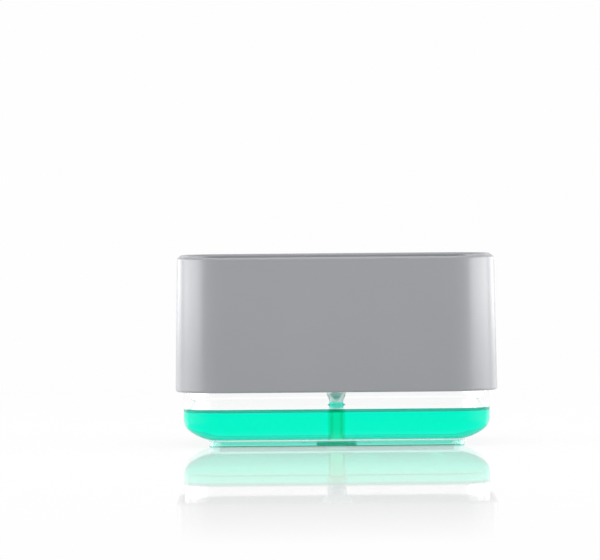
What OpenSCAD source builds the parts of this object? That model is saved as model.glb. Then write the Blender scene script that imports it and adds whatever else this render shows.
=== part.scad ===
// Soap pump caddy: a press-down sponge plate on a lotion pump, over a clear soap tank.
// X runs along the width, the front faces -Y, and Z is 0 on the plane that the foot ring stands on.

/* [Housing] */
// Width of the housing at its bottom edge
housing_w = 146; // [140:1:170]
// Depth of the housing at its bottom edge
housing_d = 98; // [92:1:120]
// Plan radius of the housing's corners at its bottom edge
corner_r = 22; // [22:0.5:30]
// Height of the rim above the foot plane
rim_z = 86; // [84:0.5:100]
// Height of the bottom edge above the foot plane
edge_z = 25; // [20:0.5:32]
// How far each side leans in from the bottom edge to the rim
lean = 1.1; // [0.4:0.1:2]
// Thickness of the housing's wall
housing_wall = 2.4; // [2:0.1:2.8]
// Height of the deck above the middle of the whole height
deck_offset = 2; // [0:0.5:3]
// Thickness of the deck that closes the tank
deck_t = 2.2; // [1.8:0.1:3]
// Radius where the deck meets the wall
deck_fillet = 3; // [1:0.5:5]
// Depth of the wall under the deck that finds the tank's rim
locate_h = 4; // [2:0.5:8]
// Thickness of the locating wall and of the ribs under the deck
locate_t = 1.4; // [1:0.1:2]
// Gap between the locating wall and the inside of the tank
locate_gap = 0.35; // [0.3:0.05:0.6]

/* [Neck] */
// Outer diameter of the neck that carries the pump
neck_d = 25.2; // [24.4:0.1:27]
// Thickness of the neck's wall
neck_wall = 2.2; // [1.6:0.1:2.6]
// Height of the neck above the deck
neck_h = 9; // [8:0.5:11]
// Radius where the neck meets the deck
neck_fillet = 0.5; // [0.2:0.1:0.6]
// Gap between the neck and the screw collar
collar_gap = 0.3; // [0.2:0.05:0.4]

/* [Tank] */
// Gap between the tank's side and the housing where the tank's rim ends
tank_gap = 0.9; // [0.7:0.1:1.2]
// Thickness of the tank's wall and floor
tank_wall = 1.4; // [1.2:0.1:2]
// How far the curve at the bottom reaches in from the side
curve_w = 16; // [12:0.5:17]
// How far the curve at the bottom reaches up the side
curve_h = 10; // [8:0.5:12]
// Radius of the curve where it meets the side
curve_side_r = 7; // [6:0.25:7.5]
// Height of the foot ring
foot_h = 2.6; // [2.2:0.1:5]
// Thickness of the foot ring
foot_t = 1.6; // [1.2:0.1:2.4]
// How far the foot ring stands in from the tank's side
foot_inset = 11.4; // [9:0.2:14]
// Outer diameter of the sump under the tube
sump_d = 18.6; // [17:0.2:24]
// Gap between the sump's underside and the foot plane
sump_rise = 0.5; // [0.3:0.1:0.8]
// Thickness of the seal between the deck and the tank's rim
seal_t = 1; // [0.6:0.1:2]

/* [Soap] */
// Depth of the soap over the tank's floor
soap_depth = 11.7; // [11:0.1:11.9]
// Radius of the curve by which the soap climbs the wall
climb_r = 1.3; // [0.6:0.1:2]
// Gap kept between the soap and the tank
soap_skin = 0.1; // [0.05:0.05:0.2]
// Gap kept between the soap and the tube
soap_clear = 0.4; // [0.3:0.1:0.6]

/* [Pump cylinder] */
// Outer diameter of the chamber
chamber_d = 14.6; // [14.2:0.1:15.4]
// Thickness of the chamber's wall
chamber_wall = 1; // [0.8:0.1:1.2]
// Length of the chamber beyond the plunger's stroke
chamber_rest = 18; // [17.5:0.5:19]
// Height of the sloping shoulder under the chamber
shoulder_h = 2; // [1.6:0.1:2.6]
// Diameter of the cup that holds the inlet ball
cup_d = 8.8; // [8.4:0.1:10]
// Height of the straight part of the cup
cup_h = 2; // [1.6:0.1:3]
// Height of the tapered part of the cup
cup_taper_h = 2.3; // [1.8:0.1:3]
// Diameter of the waist under the cup
waist_d = 6.3; // [5.8:0.1:7]
// Height of the waist
waist_h = 0.9; // [0.5:0.1:1.5]
// Diameter of the ring that the tube butts against
stop_ring_d = 9.4; // [8.6:0.1:11]
// Height of the ring that the tube butts against
stop_ring_h = 2.4; // [1.6:0.1:3]
// Length of the nipple inside the tube
nipple_len = 6; // [4:0.5:8]
// How much narrower than the neck the flange is that hangs on it
flange_inset = 0.8; // [0.4:0.1:1.6]
// Thickness of the flange
flange_t = 1.4; // [1:0.1:2]
// Diameter of the vent hole near the top of the chamber
vent_d = 1; // [0.6:0.1:1.4]
// Outer diameter of the dip tube
tube_d = 7.6; // [7:0.1:8.4]
// Thickness of the dip tube's wall
tube_wall = 1; // [0.7:0.1:1.2]
// Gap between the dip tube's end and the sump's floor
tube_lift = 0.9; // [0.8:0.1:1.5]

/* [Pump top] */
// Thickness of the gasket under the flange
gasket_t = 1; // [0.6:0.1:1.6]
// Thickness of the guide collar's flange
guide_flange_t = 1.2; // [0.8:0.1:2]
// Depth of the guide collar's spigot in the chamber
guide_depth = 5; // [4:0.5:6]
// Outer diameter of the guide collar's boss
guide_boss_d = 13.2; // [12:0.2:13.6]
// Height of the boss above the screw collar
guide_stand = 0.6; // [0.4:0.1:1]
// Thickness of the screw collar's wall
collar_wall = 2.5; // [1.8:0.1:3.5]
// Thickness of the screw collar's top lip
collar_lip_t = 1.4; // [1:0.1:2]
// Diameter of the hole in the screw collar's top
collar_hole_d = 14; // [13.8:0.1:16]
// Number of grip ribs round the screw collar
collar_ribs = 36; // [12:1:48]
// Diameter of a grip rib
collar_rib_d = 1; // [0.6:0.1:1.4]
// Depth of the wiper's seat in the guide collar
wiper_seat = 1.6; // [1:0.1:2]
// Outer diameter of the wiper ring
wiper_d = 10.8; // [10:0.1:11.2]

/* [Pump valves and plunger] */
// Gap left under the head at the end of its stroke
stop_gap = 0.6; // [0.4:0.1:1]
// Diameter of the valve balls
ball_d = 4.8; // [4.6:0.1:5]
// How far a valve ball lifts
ball_lift = 1.8; // [1:0.1:1.8]
// Radial room round a valve ball
ball_room = 0.4; // [0.3:0.1:0.4]
// Diameter of the passage through the valves
passage_d = 3.2; // [2.4:0.1:3.2]
// Thickness of the ball cage's plate
cage_t = 1.4; // [1:0.1:2]
// Height of the ring that centres the spring on the cage
cage_ring_h = 1.6; // [1:0.1:2.4]
// Wire of the return spring
wire_d = 0.7; // [0.5:0.05:0.8]
// Mean diameter of the return spring
spring_d = 8.6; // [8.4:0.1:9.4]
// Number of turns of the return spring
spring_turns = 6; // [4:1:7]
// Height of the piston
piston_h = 5; // [4:0.25:5.5]
// Gap left over the piston at the top of its stroke
piston_top_gap = 0.3; // [0.2:0.1:0.8]
// Gap between the piston and the chamber's bore
piston_fit = 0.1; // [0.05:0.01:0.1]
// Diameter of the piston's waist between its lips
piston_waist_d = 10.4; // [9:0.2:11]
// Outer diameter of the rod that carries the piston
rod_d = 5; // [4.8:0.1:5.4]
// Diameter of the flange under the piston
rod_flange_d = 10; // [9.6:0.1:11]
// Thickness of the flange under the piston
rod_flange_t = 1.2; // [0.8:0.1:1.6]
// Length of the tail that centres the spring
rod_tail = 2; // [1:0.1:2.4]
// Outer diameter of the stem
stem_d = 7.4; // [7.4:0.1:8]
// Gap between the stem and what guides it
stem_fit = 0.1; // [0.05:0.01:0.1]
// How deep the rod is pushed into the stem
rod_depth = 8; // [5:0.5:10]

/* [Head] */
// Diameter of the head
head_d = 26; // [24:0.5:28]
// Height of the head
head_h = 5.2; // [4.8:0.1:6]
// Thickness of the head's wall and top
head_t = 1.6; // [1.2:0.1:2]
// Diameter of the head's boss round the stem
head_boss_d = 12; // [11:0.2:14]
// Depth of the stem's socket in the head
head_socket = 4; // [3.4:0.1:4.2]
// Number of ribs between the head's boss and its wall
head_ribs = 6; // [3:1:12]
// Outer diameter of the outlet in the plate's middle
outlet_d = 8; // [7:0.1:9]
// Height of the outlet over the plate's seat
outlet_h = 2.8; // [2.2:0.1:3.2]
// Diameter of the soft valve's seat in the outlet
valve_d = 6.4; // [5.6:0.1:6.8]
// Thickness of the soft valve
valve_t = 0.7; // [0.5:0.1:1]
// Width of the slits in the soft valve
valve_slit = 0.3; // [0.2:0.05:0.4]

/* [Press plate] */
// Depth of the plate's top under the rim
plate_recess = 6.6; // [6:0.1:9]
// Gap between the plate and the housing's wall at the rim
plate_gap = 2.2; // [1.8:0.1:3]
// Thickness of the plate's sheet
plate_t = 2; // [1.6:0.1:2.4]
// Depth of the plate's skirt, from its top
plate_skirt = 7; // [5:0.5:7]
// Thickness of the plate's skirt
skirt_t = 1.8; // [1.4:0.1:2.2]
// Radius of the plate's top edge
plate_round = 1.2; // [0.6:0.1:1.3]
// Distance between neighbouring ribs
rib_pitch = 10; // [8:0.5:12]
// Width of a rib
rib_w = 3.2; // [2.4:0.1:4]
// How far the ribs stand up from the plate
rib_rise = 1.4; // [1:0.1:1.6]
// Distance from the plate's edge to the ends of the ribs
rib_margin = 9; // [7:0.5:12]
// Least distance from the plate's side to the middle of the outermost rib
rib_side = 6.5; // [5:0.5:12]
// Width of a drain slot
slot_w = 2.8; // [2:0.1:4]
// Bare length between the front and the back row of slots
slot_break = 8; // [6:0.5:16]
// Diameter of the plain round pad at the outlet
pad_d = 33; // [32:0.5:40]
// Gap round the outlet in the plate
outlet_gap = 0.6; // [0.4:0.1:1]
// Gap between the head and its socket under the plate
socket_gap = 0.4; // [0.3:0.05:0.6]
// Thickness of the socket and of the ribs under the plate
under_t = 1.5; // [1:0.1:1.8]
// Depth of the ribs under the plate
under_h = 3; // [2:0.1:4]
// Depth of the head's socket under the plate
socket_h = 4.4; // [3:0.1:4.8]

/* [Hidden] */
$fn = 72;
// How far every cut runs past what it cuts
overrun = 1;
// Gap between pieces that are pressed together
press_gap = 0.05;

// The four corner centres, shared by everything that follows the housing's plan
half_x = housing_w / 2 - corner_r;
half_y = housing_d / 2 - corner_r;
lean_angle = atan(lean / (rim_z - edge_z));

// Levels of the housing and the tank
deck_z = rim_z / 2 + deck_offset;
deck_under = deck_z - deck_t;
tank_rim_z = deck_under - seal_t;
tank_floor_z = foot_h + tank_wall;
soap_z = tank_floor_z + soap_depth;
sump_floor_z = sump_rise + tank_wall;

// Levels of the pump, from the neck's top up and from the rim down
neck_top = deck_z + neck_h;
flange_z = neck_top + gasket_t;
flange_top = flange_z + flange_t;
guide_flange_top = flange_top + guide_flange_t;
collar_top = guide_flange_top + collar_lip_t;
guide_top = collar_top + guide_stand;
plate_top = rim_z - plate_recess;
plate_seat = plate_top - plate_t;
head_z = plate_seat - head_h;
outlet_top = plate_seat + outlet_h;
// How far the plate can be pressed down
stroke = head_z - guide_top - stop_gap;

// Levels of the pump, from the flange down
shoulder_top = flange_z - stroke - chamber_rest;
cup_top = shoulder_top - shoulder_h;
taper_top = cup_top - cup_h;
waist_top = taper_top - cup_taper_h;
stop_ring_top = waist_top - waist_h;
tube_top = stop_ring_top - stop_ring_h;
nipple_end = tube_top - nipple_len;
tube_end = sump_floor_z + tube_lift;
chamber_floor = shoulder_top + chamber_wall;
cage_top = chamber_floor + cage_t;
inlet_seat_z = waist_top + chamber_wall;

// Levels of the plunger at rest
guide_end = flange_top - guide_depth;
piston_top = guide_end - piston_top_gap;
piston_z = piston_top - piston_h;
spring_top = piston_z - rod_flange_t;
stem_top = head_z + head_socket - press_gap;
rod_top = piston_top + rod_depth;

// Diameters and radii that several pieces share
flange_d = neck_d - flange_inset;
collar_d = neck_d + 2 * (collar_gap + collar_wall);
bore_r = chamber_d / 2 - chamber_wall;
ball_r = ball_d / 2;
ball_bore_r = ball_r + ball_room;
passage_r = passage_d / 2;
seat_cone_h = ball_bore_r - passage_r;
tube_bore_r = tube_d / 2 - tube_wall;
// A ball stands this far above the foot of a seat that slopes at half a right angle
ball_stand = ball_r * sqrt(2) - passage_r + 2 * press_gap;
// The cross in the head stops the outlet ball at this level
cross_z = stem_top - cage_t;
outlet_seat_z = cross_z - 4 * press_gap - ball_lift - ball_r - ball_stand;

// Distance out from the corner centres of a face that lies some depth inside the housing's side
function inside_x(depth, z) = corner_r - depth / cos(lean_angle) - tan(lean_angle) * (z - edge_z);

tank_r = inside_x(housing_wall, tank_rim_z) - tank_gap;
foot_r = tank_r - foot_inset;
plate_r = inside_x(housing_wall, rim_z) - plate_gap;
plate_half_y = half_y + plate_r;
rib_pairs = floor((half_x + plate_r - rib_side) / rib_pitch);

// Share of the stop ring's height at which it is widest
widest_share = 0.4;
// Share of the curve's radius by which the soap climbs the wall
climb_share = 0.7;
// Share of the piston's height that the edge of a lip takes, and that to the back of its groove
lip_share = 0.2;
groove_share = 0.34;

// Carries a profile round the plan. Its x is the distance out from the corner centres and its
// y is the height.
module carry_round() {
    for (turn = [0, 180]) {
        rotate([0, 0, turn]) translate([half_x, half_y, 0])
            rotate_extrude(angle = 90) children();
        rotate([0, 0, turn + 90]) translate([half_y, half_x, 0])
            rotate_extrude(angle = 90) children();
        rotate([0, 0, turn]) translate([half_x, 0, 0]) rotate([90, 0, 0])
            linear_extrude(height = 2 * half_y, center = true) children();
        rotate([0, 0, turn + 90]) translate([half_y, 0, 0]) rotate([90, 0, 0])
            linear_extrude(height = 2 * half_x, center = true) children();
    }
}

// Fills the plan between the corner centres
module fill_middle(z, thickness) {
    translate([-half_x, -half_y, z]) cube([2 * half_x, 2 * half_y, thickness]);
}

// A tube or ring of round section
module ring(outer_r, inner_r, z, height) {
    translate([0, 0, z]) difference() {
        cylinder(h = height, r = outer_r);
        translate([0, 0, -overrun]) cylinder(h = height + 2 * overrun, r = inner_r);
    }
}

// A flat slot or rib outline with round ends, along Y
module stadium(width, start_y, end_y) {
    translate([-width / 2, start_y + width / 2]) square([width, end_y - start_y - width]);
    for (end = [start_y + width / 2, end_y - width / 2])
        translate([0, end]) circle(d = width);
}

// A bar with a round back and round ends, along Y, its axis at the origin's height
module round_bar(width, start_y, end_y) {
    translate([0, start_y + width / 2, 0]) rotate([-90, 0, 0])
        cylinder(h = end_y - start_y - width, d = width);
    for (end = [start_y + width / 2, end_y - width / 2])
        translate([0, end, 0]) sphere(d = width);
}

// Section of the housing's leaning wall, round at the rim and at the bottom edge
module wall_section() {
    rise = rim_z - edge_z - housing_wall;
    translate([corner_r - housing_wall / 2, edge_z + housing_wall / 2]) {
        circle(d = housing_wall);
        rotate(lean_angle) {
            translate([-housing_wall / 2, 0]) square([housing_wall, rise / cos(lean_angle)]);
            translate([0, rise / cos(lean_angle)]) circle(d = housing_wall);
        }
    }
}

// Section of the fillet between the deck and the leaning wall
module deck_fillet_section() {
    centre_z = deck_z + deck_fillet;
    centre_x = inside_x(housing_wall + deck_fillet, centre_z);
    difference() {
        polygon([
            [centre_x, centre_z],
            [centre_x, deck_z],
            [inside_x(housing_wall, deck_z), deck_z],
            [centre_x + deck_fillet * cos(lean_angle), centre_z + deck_fillet * sin(lean_angle)]
        ]);
        translate([centre_x, centre_z]) circle(r = deck_fillet);
    }
}

module housing_section() {
    wall_section();
    deck_fillet_section();
    translate([0, deck_under]) square([inside_x(housing_wall / 2, deck_z), deck_t]);
    translate([tank_r - tank_wall - locate_gap - locate_t, deck_under - locate_h])
        square([locate_t, locate_h + deck_t / 2]);
}

module neck() {
    translate([0, 0, deck_under]) cylinder(h = neck_top - deck_under, d = neck_d);
    translate([0, 0, deck_z]) rotate_extrude() difference() {
        square([neck_d / 2 + neck_fillet, neck_fillet]);
        translate([neck_d / 2 + neck_fillet, neck_fillet]) circle(r = neck_fillet);
    }
}

// Four ribs that stiffen the deck from below, from the neck to the locating wall
module deck_ribs() {
    reach = tank_r - tank_wall - locate_gap - locate_t / 2;
    for (turn = [0, 180]) {
        rotate([0, 0, turn]) translate([neck_d / 2 - neck_wall, -locate_t / 2, deck_under - locate_h])
            cube([half_x + reach - neck_d / 2 + neck_wall, locate_t, locate_h + deck_t / 2]);
        rotate([0, 0, turn + 90])
            translate([neck_d / 2 - neck_wall, -locate_t / 2, deck_under - locate_h])
                cube([half_y + reach - neck_d / 2 + neck_wall, locate_t, locate_h + deck_t / 2]);
    }
}

module housing() {
    color([0.60, 0.60, 0.62]) difference() {
        union() {
            carry_round() housing_section();
            fill_middle(deck_under, deck_t);
            neck();
            deck_ribs();
        }
        translate([0, 0, deck_under - locate_h - overrun])
            cylinder(h = neck_h + deck_t + locate_h + 2 * overrun, d = neck_d - 2 * neck_wall);
    }
}

// Outline of the tank from its middle to its side, with the two arcs of the bottom curve.
// The inset moves the side, the arcs and the floor inward together.
module tank_outline(inset, top_z) {
    floor_r = (curve_w * curve_w + curve_h * curve_h - 2 * curve_w * curve_side_r)
        / (2 * (curve_h - curve_side_r));
    side_x = tank_r - curve_side_r;
    side_z = foot_h + curve_h;
    floor_x = tank_r - curve_w;
    floor_z = foot_h + floor_r;
    // Beyond the point where the arcs meet, on the line through both centres
    share = (floor_r + curve_side_r) / (floor_r - curve_side_r);
    beyond_x = floor_x + share * (side_x - floor_x);
    beyond_z = floor_z + share * (side_z - floor_z);
    translate([0, side_z]) square([tank_r - inset, top_z - side_z]);
    translate([0, foot_h + inset]) square([floor_x, curve_h - inset]);
    intersection() {
        translate([side_x, side_z]) circle(r = curve_side_r - inset);
        polygon([
            [side_x, side_z],
            [beyond_x, beyond_z],
            [tank_r + curve_side_r, beyond_z],
            [tank_r + curve_side_r, side_z]
        ]);
    }
    intersection() {
        translate([floor_x, floor_z]) circle(r = floor_r - inset);
        polygon([[floor_x, side_z], [side_x, side_z], [beyond_x, beyond_z], [floor_x, beyond_z]]);
    }
}

module tank_section() {
    difference() {
        tank_outline(0, tank_rim_z);
        tank_outline(tank_wall, tank_rim_z + overrun);
    }
    translate([foot_r - foot_t, 0]) square([foot_t, foot_h + tank_wall / 2]);
}

module tank() {
    color([0.80, 0.95, 0.93, 0.45]) difference() {
        union() {
            carry_round() tank_section();
            fill_middle(foot_h, tank_wall);
            translate([0, 0, sump_rise]) cylinder(h = foot_h + tank_wall - sump_rise, d = sump_d);
        }
        translate([0, 0, sump_floor_z])
            cylinder(h = foot_h + tank_wall, r = sump_d / 2 - tank_wall);
    }
}

// Outline of the soap, which climbs the wall a little at its edge
module soap_section() {
    edge_x = tank_r - tank_wall - soap_skin;
    tank_outline(tank_wall + soap_skin, soap_z);
    difference() {
        translate([edge_x - climb_r, soap_z]) square([climb_r, climb_share * climb_r]);
        translate([edge_x - climb_r, soap_z + climb_r]) circle(r = climb_r);
    }
}

module soap() {
    sump_soap_r = sump_d / 2 - tank_wall - soap_skin;
    color([0.00, 0.90, 0.75]) difference() {
        union() {
            carry_round() soap_section();
            fill_middle(tank_floor_z + soap_skin, soap_depth - soap_skin);
            translate([0, 0, sump_floor_z + soap_skin])
                cylinder(h = soap_depth, r = sump_soap_r);
        }
        ring(tube_d / 2 + soap_clear, tube_bore_r - soap_clear, tube_end - soap_clear, soap_z);
        translate([0, 0, nipple_end - soap_clear]) cylinder(h = soap_z, d = tube_d);
    }
}

module tank_seal() {
    color([0.85, 0.85, 0.85]) carry_round() translate([tank_r - tank_wall, tank_rim_z])
        square([tank_wall + tank_gap / 2, seal_t]);
}

module pump_gasket() {
    color([0.90, 0.90, 0.88]) ring(flange_d / 2, neck_d / 2 - neck_wall, neck_top, gasket_t);
}

// The cylinder in one revolve: flange, chamber, shoulder, ball cup, stop ring and nipple
module pump_cylinder() {
    color([0.88, 0.94, 0.90, 0.7]) difference() {
        rotate_extrude() polygon([
            [passage_r, nipple_end],
            [tube_bore_r - press_gap, nipple_end],
            [tube_bore_r - press_gap, tube_top],
            [tube_d / 2, tube_top],
            [stop_ring_d / 2, tube_top + widest_share * stop_ring_h],
            [waist_d / 2, stop_ring_top],
            [waist_d / 2, waist_top],
            [cup_d / 2, taper_top],
            [cup_d / 2, cup_top],
            [chamber_d / 2, shoulder_top],
            [chamber_d / 2, flange_z],
            [flange_d / 2, flange_z],
            [flange_d / 2, flange_top],
            [bore_r, flange_top],
            [bore_r, chamber_floor],
            [ball_bore_r, chamber_floor],
            [ball_bore_r, inlet_seat_z + seat_cone_h],
            [passage_r, inlet_seat_z]
        ]);
        translate([0, 0, flange_z - 2 * vent_d]) rotate([90, 0, 0])
            cylinder(h = chamber_d, d = vent_d);
    }
}

module guide_collar() {
    color([0.93, 0.93, 0.92]) rotate_extrude() difference() {
        union() {
            translate([stem_d / 2 + stem_fit, guide_end])
                square([bore_r - press_gap - stem_d / 2 - stem_fit, guide_top - guide_end]);
            translate([stem_d / 2 + stem_fit, flange_top])
                square([flange_d / 2 - press_gap - stem_d / 2 - stem_fit, guide_flange_t]);
            translate([stem_d / 2 + stem_fit, flange_top])
                square([guide_boss_d / 2 - stem_d / 2 - stem_fit, guide_top - flange_top]);
        }
        translate([0, guide_top - wiper_seat]) square([wiper_d / 2 + press_gap, 2 * wiper_seat]);
    }
}

// Wiper ring round the stem, thinned to a lip where it meets the stem
module stem_wiper() {
    lip_r = stem_d / 2 + stem_fit;
    low_z = guide_top - wiper_seat + press_gap;
    high_z = guide_top - press_gap;
    color([0.35, 0.36, 0.38]) rotate_extrude() polygon([
        [wiper_d / 2, low_z],
        [wiper_d / 2, high_z],
        [lip_r + wiper_seat / 2, high_z - wiper_seat / 4],
        [lip_r, high_z],
        [lip_r, high_z - wiper_seat / 2],
        [lip_r + wiper_seat / 4, low_z]
    ]);
}

module screw_collar() {
    low_z = deck_z + neck_fillet + 2 * press_gap;
    high_z = collar_top;
    inner_r = neck_d / 2 + collar_gap;
    color([0.90, 0.90, 0.90]) difference() {
        union() {
            translate([0, 0, low_z]) cylinder(h = high_z - low_z, d = collar_d);
            for (index = [0 : collar_ribs - 1])
                rotate([0, 0, 360 * (index + 0.5) / collar_ribs]) translate([collar_d / 2, 0, low_z])
                    cylinder(h = high_z - low_z - collar_lip_t, d = collar_rib_d, $fn = 24);
        }
        translate([0, 0, low_z - overrun])
            cylinder(h = guide_flange_top - low_z + overrun, r = inner_r);
        translate([0, 0, low_z]) cylinder(h = high_z - low_z + overrun, d = collar_hole_d);
    }
}

// The dip tube, with two notches at its lower end so that it can't seal against the sump
module dip_tube() {
    color([0.80, 0.93, 0.88, 0.6]) difference() {
        ring(tube_d / 2, tube_bore_r, tube_end, tube_top - tube_end);
        translate([0, 0, tube_end]) rotate([90, 0, 0])
            cylinder(h = 2 * tube_d, d = 2 * tube_wall, center = true);
    }
}

// Plate over the inlet ball: it stops the ball, seats the spring and lets soap through
module ball_cage() {
    port_r = passage_r / 2;
    color([0.92, 0.92, 0.92]) difference() {
        union() {
            translate([0, 0, chamber_floor]) cylinder(h = cage_t, r = bore_r - press_gap);
            ring(spring_d / 2 - wire_d, ball_bore_r, cage_top - cage_t / 2,
                 cage_ring_h + cage_t / 2);
        }
        for (turn = [0 : 90 : 270])
            rotate([0, 0, turn]) translate([passage_r, 0, chamber_floor - overrun])
                cylinder(h = cage_t + 2 * overrun, r = port_r);
    }
}

module inlet_ball() {
    color([0.75, 0.76, 0.78]) translate([0, 0, inlet_seat_z + ball_stand]) sphere(d = ball_d);
}

// Centre line of the spring's wire at a number of turns above its lower end
spring_rings = 8;
spring_sides = 6;
spring_rise = spring_top - cage_top - wire_d - 2 * press_gap;
function wire_point(turns) = [
    spring_d / 2 * cos(360 * turns),
    spring_d / 2 * sin(360 * turns),
    cage_top + press_gap + wire_d / 2 + spring_rise * turns / spring_turns
];
function wire_ring(turns) = [
    for (side = [0 : spring_sides - 1])
        let (angle = 360 * side / spring_sides, out = wire_d / 2 * cos(angle))
            wire_point(turns) + [
                out * cos(360 * turns),
                out * sin(360 * turns),
                wire_d / 2 * sin(angle)
            ]
];
spring_steps = spring_turns * spring_rings;
spring_line = [for (step = [0 : spring_steps]) wire_point(step / spring_rings)];
spring_gap = min([
    for (low = [0 : spring_steps], high = [low + spring_rings / 2 : spring_steps])
        if (high <= spring_steps) norm(spring_line[high] - spring_line[low])
]) - wire_d;
echo("least gap between the turns of the return spring", spring_gap);

module return_spring() {
    points = [for (step = [0 : spring_steps]) each wire_ring(step / spring_rings)];
    last = spring_steps * spring_sides;
    sides = [
        for (step = [0 : spring_steps - 1], side = [0 : spring_sides - 1])
            let (
                here = step * spring_sides,
                next = (side + 1) % spring_sides,
                a = here + side,
                b = here + next,
                c = b + spring_sides,
                d = a + spring_sides
            )
                each [[a, c, b], [a, d, c]]
    ];
    lower_end = [for (side = [1 : spring_sides - 2]) [0, side, side + 1]];
    upper_end = [for (side = [1 : spring_sides - 2]) [last, last + side + 1, last + side]];
    color([0.72, 0.73, 0.75]) polyhedron(points = points, faces = concat(sides, lower_end, upper_end));
}

// Piston with a lip at each end, in one revolve
module piston() {
    lip_r = bore_r - piston_fit;
    hole_r = rod_d / 2 + press_gap;
    lip_h = lip_share * piston_h;
    groove_h = groove_share * piston_h;
    color([0.93, 0.94, 0.95]) rotate_extrude() polygon([
        [hole_r, piston_z],
        [piston_waist_d / 2 - lip_h / 2, piston_z],
        [piston_waist_d / 2, piston_z + lip_h],
        [lip_r - lip_h / 3, piston_z],
        [lip_r, piston_z],
        [lip_r, piston_z + lip_h / 2],
        [piston_waist_d / 2, piston_z + groove_h],
        [piston_waist_d / 2, piston_top - groove_h],
        [lip_r, piston_top - lip_h / 2],
        [lip_r, piston_top],
        [lip_r - lip_h / 3, piston_top],
        [piston_waist_d / 2, piston_top - lip_h],
        [piston_waist_d / 2 - lip_h / 2, piston_top],
        [hole_r, piston_top]
    ]);
}

module piston_rod() {
    color([0.90, 0.91, 0.92]) difference() {
        union() {
            translate([0, 0, spring_top]) cylinder(h = rod_top - spring_top, d = rod_d);
            translate([0, 0, spring_top])
                cylinder(h = rod_flange_t - press_gap, d = rod_flange_d);
            translate([0, 0, spring_top - rod_tail])
                cylinder(h = rod_tail + rod_flange_t / 2, r = spring_d / 2 - wire_d - press_gap);
        }
        translate([0, 0, spring_top - rod_tail - overrun])
            cylinder(h = rod_top - spring_top + rod_tail + 2 * overrun, r = passage_r);
    }
}

// Stem in one revolve: the rod's socket at the bottom and the outlet ball's seat near the top
module pump_stem() {
    stem_z = piston_top + press_gap;
    socket_r = rod_d / 2 + press_gap;
    color([0.92, 0.92, 0.93]) rotate_extrude() polygon([
        [socket_r, stem_z],
        [stem_d / 2, stem_z],
        [stem_d / 2, stem_top],
        [ball_bore_r, stem_top],
        [ball_bore_r, outlet_seat_z + seat_cone_h],
        [passage_r, outlet_seat_z],
        [passage_r, rod_top + press_gap],
        [socket_r, rod_top + press_gap]
    ]);
}

module outlet_ball() {
    color([0.75, 0.76, 0.78]) translate([0, 0, outlet_seat_z + ball_stand]) sphere(d = ball_d);
}

// Head: a shell with a boss for the stem and an outlet that reaches up through the plate.
// A cross over the passage stops the outlet ball.
module pump_head() {
    socket_top = head_z + head_socket;
    color([0.88, 0.88, 0.89]) {
        difference() {
            union() {
                ring(head_d / 2, head_d / 2 - head_t, head_z, head_h);
                translate([0, 0, plate_seat - head_t]) cylinder(h = head_t, d = head_d);
                translate([0, 0, head_z]) cylinder(h = head_h, d = head_boss_d);
                for (index = [0 : head_ribs - 1])
                    rotate([0, 0, 360 * (index + 0.5) / head_ribs])
                        translate([head_boss_d / 2 - head_t, -head_t / 4, head_z + head_t / 2])
                            cube([(head_d - head_boss_d + head_t) / 2, head_t / 2, head_h - head_t]);
                translate([0, 0, plate_seat - head_t / 2])
                    cylinder(h = outlet_h + head_t / 2, d = outlet_d);
            }
            translate([0, 0, head_z - overrun])
                cylinder(h = head_socket + overrun, r = stem_d / 2 + press_gap);
            translate([0, 0, socket_top - overrun]) cylinder(h = head_h + outlet_h, d = passage_d);
            translate([0, 0, outlet_top - 2 * valve_t])
                cylinder(h = overrun + 2 * valve_t, d = valve_d);
        }
        for (turn = [45, 135])
            rotate([0, 0, turn]) translate([press_gap - ball_bore_r, -valve_t / 2, cross_z])
                cube([2 * (ball_bore_r - press_gap), valve_t, socket_top + valve_t - cross_z]);
    }
}

// Soft dome with two crossed slits, which keeps water out of the outlet
module outlet_valve() {
    seat_z = outlet_top - 2 * valve_t + press_gap;
    rim_r = valve_d / 2 - press_gap;
    dome_r = rim_r - valve_t;
    color([0.80, 0.81, 0.82]) difference() {
        union() {
            translate([0, 0, seat_z]) cylinder(h = valve_t, r = rim_r);
            translate([0, 0, seat_z]) intersection() {
                translate([0, 0, valve_t - dome_r / 2]) sphere(r = dome_r);
                cylinder(h = dome_r, r = dome_r);
            }
        }
        translate([0, 0, seat_z - dome_r / 2]) sphere(r = dome_r - valve_t / 2);
        for (turn = [0, 90])
            rotate([0, 0, turn]) translate([-dome_r / 2, -valve_slit / 2, seat_z - overrun])
                cube([dome_r, valve_slit, dome_r + 2 * overrun]);
    }
}

module plate_section() {
    square_top = plate_top - plate_round;
    translate([0, plate_seat]) square([plate_r - plate_round, plate_t]);
    translate([0, plate_seat]) square([plate_r, plate_t - plate_round]);
    translate([plate_r - plate_round, square_top]) circle(r = plate_round);
    translate([plate_r - skirt_t, plate_top - plate_skirt])
        square([skirt_t, plate_skirt - plate_round]);
}

// Ribs on the plate, left out over the round pad
module plate_ribs() {
    end_y = plate_half_y - rib_margin;
    for (index = [-rib_pairs : rib_pairs]) {
        x = index * rib_pitch;
        pad_reach = (pad_d + rib_w) / 2;
        translate([x, 0, plate_top + rib_rise - rib_w / 2]) {
            if (abs(x) < pad_reach) {
                start_y = sqrt(pad_reach * pad_reach - x * x);
                round_bar(rib_w, start_y, end_y);
                round_bar(rib_w, -end_y, -start_y);
            } else {
                round_bar(rib_w, -end_y, end_y);
            }
        }
    }
}

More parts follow.
